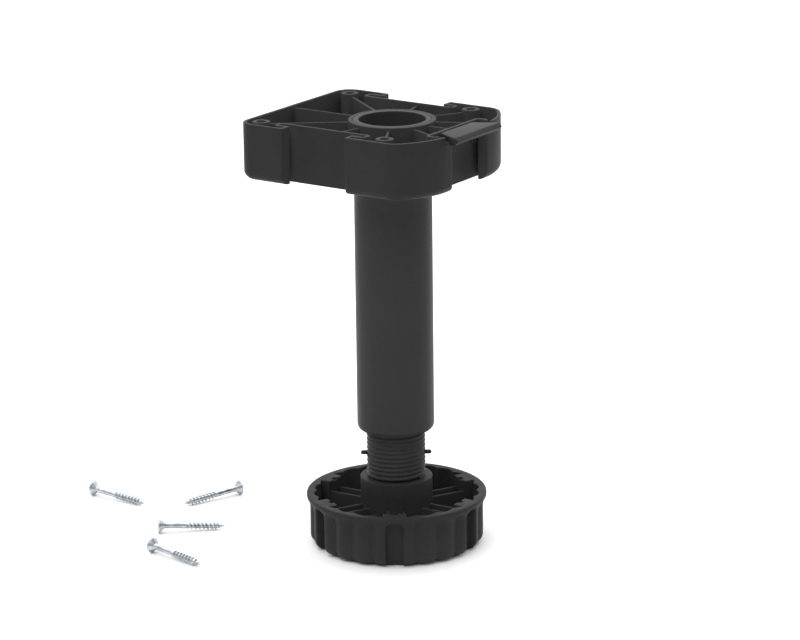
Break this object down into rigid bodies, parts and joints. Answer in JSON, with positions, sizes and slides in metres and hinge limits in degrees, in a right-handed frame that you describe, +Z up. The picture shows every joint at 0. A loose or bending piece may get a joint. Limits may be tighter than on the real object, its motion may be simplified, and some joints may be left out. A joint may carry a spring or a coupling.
{
  "type": "furniture leveling foot",
  "caption": "Adjustable cabinet leg: ribbed mounting plate with a support lip, round tube, threaded stem, scalloped foot with grip slots, and loose wood screws.",
  "frame": {"origin": "on the floor, on the axis of the tube and the foot, at the middle of the glide's sole", "axes": "+Z up along the tube towards the cabinet; +X towards the support lip, along the plate's wide direction; +Y across the plate"},
  "size_m": [0.1983, 0.1181, 0.1916],
  "materials": {
    "plate_plastic": "fine moulded satin black",
    "lip_plastic": "satin black, a little lighter",
    "tube_plastic": "smooth satin black",
    "insert_plastic": "smooth satin black",
    "stem_plastic": "satin black",
    "foot_plastic": "fine moulded satin black",
    "glide_rubber": "matte black rubber",
    "screw_zinc": "bright zinc plating"
  },
  "bodies": {
    "floor": {"floor_glide": "glide_rubber", "wood_screw_1": "screw_zinc", "wood_screw_2": "screw_zinc", "wood_screw_3": "screw_zinc", "wood_screw_4": "screw_zinc"},
    "foot": {"foot_base": "foot_plastic", "threaded_stem": "stem_plastic", "stop_pin": "stem_plastic"},
    "leg": {"leg_tube": "tube_plastic", "thread_insert": "insert_plastic", "mounting_plate": "plate_plastic", "support_lip": "lip_plastic"}
  },
  "joints": [
    {"name": "foot_spin", "type": "hinge", "parent": "floor", "child": "foot", "pos_m": [0, 0, 0], "axis": [0, 0, 1], "range_deg": [-3600, 1440]},
    {"name": "height_adjust", "type": "slide", "parent": "floor", "child": "leg", "axis": [0, 0, 1], "range_m": [-0.008, 0.02]}
  ],
  "couplings": [
    {"joint": "foot_spin", "follows": "height_adjust", "rad_per_m": -3141.6}
  ]
}
